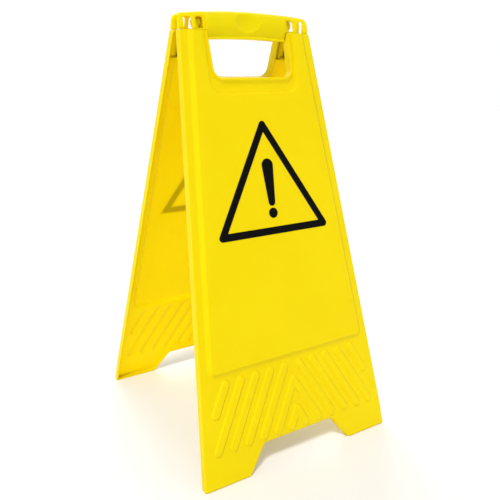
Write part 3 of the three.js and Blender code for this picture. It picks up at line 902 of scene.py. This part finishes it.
def floor_material():
    nodes = Nodes("studio_floor")
    place = nodes.add("ShaderNodeTexCoord").outputs["Object"]
    tone = nodes.noise(place, 3.0, 2.0)
    colour = nodes.mix(nodes.span(tone, 0.3, 0.7, 0.0, 1.0), (0.84, 0.84, 0.84), (0.86, 0.86, 0.86))
    nodes.link(colour, nodes.shader.inputs["Base Color"])
    nodes.shader.inputs["Roughness"].default_value = 0.8
    nodes.shader.inputs["Specular IOR Level"].default_value = 0.1
    return nodes.material


# ---------------------------------------------------------------- handle and small parts
HANDLE_VOXEL = 0.0006
HANDLE_SMOOTHING = 5
HANDLE_FACE_SHARE = 0.4


def refine_moulding(node, voxel, rounds, share):
    """Rounds the edges of a CAD node as a mould would, by modifiers only."""
    weld = node.modifiers.new("weld", "WELD")
    weld.merge_threshold = 0.00001
    remesh = node.modifiers.new("even surface", "REMESH")
    remesh.mode = "VOXEL"
    remesh.voxel_size = voxel
    remesh.use_smooth_shade = True
    smooth = node.modifiers.new("mould radii", "SMOOTH")
    smooth.factor = 0.5
    smooth.iterations = rounds
    thin = node.modifiers.new("fewer faces", "DECIMATE")
    thin.ratio = share


def paint(node, material):
    node.data.materials.clear()
    node.data.materials.append(material)


# ---------------------------------------------------------------- studio
def add_sun(name, towards_light, strength, angle):
    data = bpy.data.lights.new(name, "SUN")
    data.energy = strength
    data.angle = math.radians(angle)
    light = bpy.data.objects.new(name, data)
    light.rotation_euler = (-Vector(towards_light)).to_track_quat("-Z", "Y").to_euler()
    bpy.context.scene.collection.objects.link(light)


def add_side_light():
    """A small soft light that looks in between the leaves from the side."""
    data = bpy.data.lights.new("side", "AREA")
    data.shape = "DISK"
    data.size = SIDE_SIZE
    data.energy = SIDE_POWER
    light = bpy.data.objects.new("side", data)
    light.location = SIDE_PLACE
    aim = Vector(SIDE_TARGET) - Vector(SIDE_PLACE)
    light.rotation_euler = aim.to_track_quat("-Z", "Y").to_euler()
    light.visible_camera = False
    bpy.context.scene.collection.objects.link(light)


def add_floor():
    half = FLOOR_HALF_SIZE
    corners = [(-half, -half, 0), (half, -half, 0), (half, half, 0), (-half, half, 0)]
    mesh = bpy.data.meshes.new("studio_floor")
    mesh.from_pydata(corners, [], [(0, 1, 2, 3)])
    mesh.materials.append(floor_material())
    floor = bpy.data.objects.new("studio_floor", mesh)
    bpy.context.scene.collection.objects.link(floor)


FLOOR_HALF_SIZE = 6.0
ROOM_LIGHT = 0.57
BACKDROP_LIGHT = 1.02
KEY_DIRECTION = (-0.33, -0.33, 0.885)
KEY_STRENGTH = 1.70
KEY_ANGLE = 12.0
FILL_DIRECTION = (-0.62, -0.77, 0.10)
FILL_STRENGTH = 0.36
FILL_ANGLE = 50.0
REAR_DIRECTION = (0.25, 0.88, 0.40)
REAR_STRENGTH = 1.75
REAR_ANGLE = 45.0
SIDE_PLACE = (-0.75, -0.06, 0.38)
SIDE_TARGET = (0.0, 0.05, 0.36)
SIDE_SIZE = 0.30
SIDE_POWER = 0.6

CAMERA_PLACE = Vector((-0.44112, -0.73254, 0.53290))
CAMERA_YAW = math.radians(31.94)
CAMERA_PITCH = math.radians(-17.756)
CAMERA_ROLL = math.radians(0.522)
FOCAL_LENGTH_PX = 589.845
SENSOR_MM = 36.0
IMAGE_PX = 500


def add_camera():
    forward = Vector(
        (
            math.sin(CAMERA_YAW) * math.cos(CAMERA_PITCH),
            math.cos(CAMERA_YAW) * math.cos(CAMERA_PITCH),
            math.sin(CAMERA_PITCH),
        )
    )
    level = Vector((math.cos(CAMERA_YAW), -math.sin(CAMERA_YAW), 0))
    above = level.cross(forward)
    right = math.cos(CAMERA_ROLL) * level + math.sin(CAMERA_ROLL) * above
    up = math.cos(CAMERA_ROLL) * above - math.sin(CAMERA_ROLL) * level
    data = bpy.data.cameras.new("camera")
    data.sensor_width = SENSOR_MM
    data.lens = FOCAL_LENGTH_PX / IMAGE_PX * SENSOR_MM
    data.clip_start = 0.01
    data.clip_end = 50
    camera = bpy.data.objects.new("camera", data)
    bpy.context.scene.collection.objects.link(camera)
    camera.matrix_world = Matrix(
        (
            (right.x, up.x, -forward.x, CAMERA_PLACE.x),
            (right.y, up.y, -forward.y, CAMERA_PLACE.y),
            (right.z, up.z, -forward.z, CAMERA_PLACE.z),
            (0, 0, 0, 1),
        )
    )
    bpy.context.scene.camera = camera


def add_studio():
    """A bright room all round, with soft light from the upper left, the front, behind and one side."""
    world = bpy.data.worlds.new("studio")
    world.use_nodes = True
    background = world.node_tree.nodes["Background"]
    background.inputs["Color"].default_value = (1.0, 1.0, 1.0, 1.0)
    view = world.node_tree.nodes.new("ShaderNodeLightPath")
    level = world.node_tree.nodes.new("ShaderNodeMath")
    level.operation = "MULTIPLY_ADD"
    level.inputs[1].default_value = BACKDROP_LIGHT - ROOM_LIGHT
    level.inputs[2].default_value = ROOM_LIGHT
    world.node_tree.links.new(view.outputs["Is Camera Ray"], level.inputs[0])
    world.node_tree.links.new(level.outputs[0], background.inputs["Strength"])
    bpy.context.scene.world = world
    add_sun("key", KEY_DIRECTION, KEY_STRENGTH, KEY_ANGLE)
    add_sun("fill", FILL_DIRECTION, FILL_STRENGTH, FILL_ANGLE)
    add_sun("rear", REAR_DIRECTION, REAR_STRENGTH, REAR_ANGLE)
    add_side_light()
    bpy.context.scene.view_settings.view_transform = "Standard"
    bpy.context.scene.view_settings.look = "None"


# ---------------------------------------------------------------- the sign
def build():
    nodes = frame["nodes"]
    # ghost=True paints the print's shadow as shade on the inner faces and gives them more subsurface
    # light.
    leaf_plastic = yellow_plastic("leaf_plastic", 0.16, OUTER_GLOW, ghost=True, scuffed=True)
    skin = build_leaf_skin()
    add_stiffeners(skin)
    skins = {
        "leaf": skin,
        "hinge_lug_right": build_lug_skin(LUG_INNER),
        "hinge_lug_left": build_lug_skin(-LUG_INNER - 2 * LUG_WIDTH - LUG_GAP),
    }
    for side, back in (("front", False), ("back", True)):
        for part, skin in skins.items():
            piece = make_moulding(f"{side}_{part}_moulding", skin, back, leaf_plastic)
            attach(piece, f"{side}_leaf")
            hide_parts(f"{side}_{part}")
    refine_moulding(nodes["handle"], HANDLE_VOXEL, HANDLE_SMOOTHING, HANDLE_FACE_SHARE)
    paint(nodes["handle"], yellow_plastic("handle_plastic", 0.14, HANDLE_GLOW))
    pin = yellow_plastic("pin_plastic", 0.12, HANDLE_GLOW)
    for side in ("right", "left"):
        paint(nodes[f"hinge_pin_{side}"], pin)
    ink = printed_ink("print_ink")
    for side in ("front", "back"):
        for part in ("warning_triangle", "exclamation_bar", "exclamation_dot"):
            paint(nodes[f"{side}_{part}"], ink)


build()
add_floor()
add_studio()
add_camera()
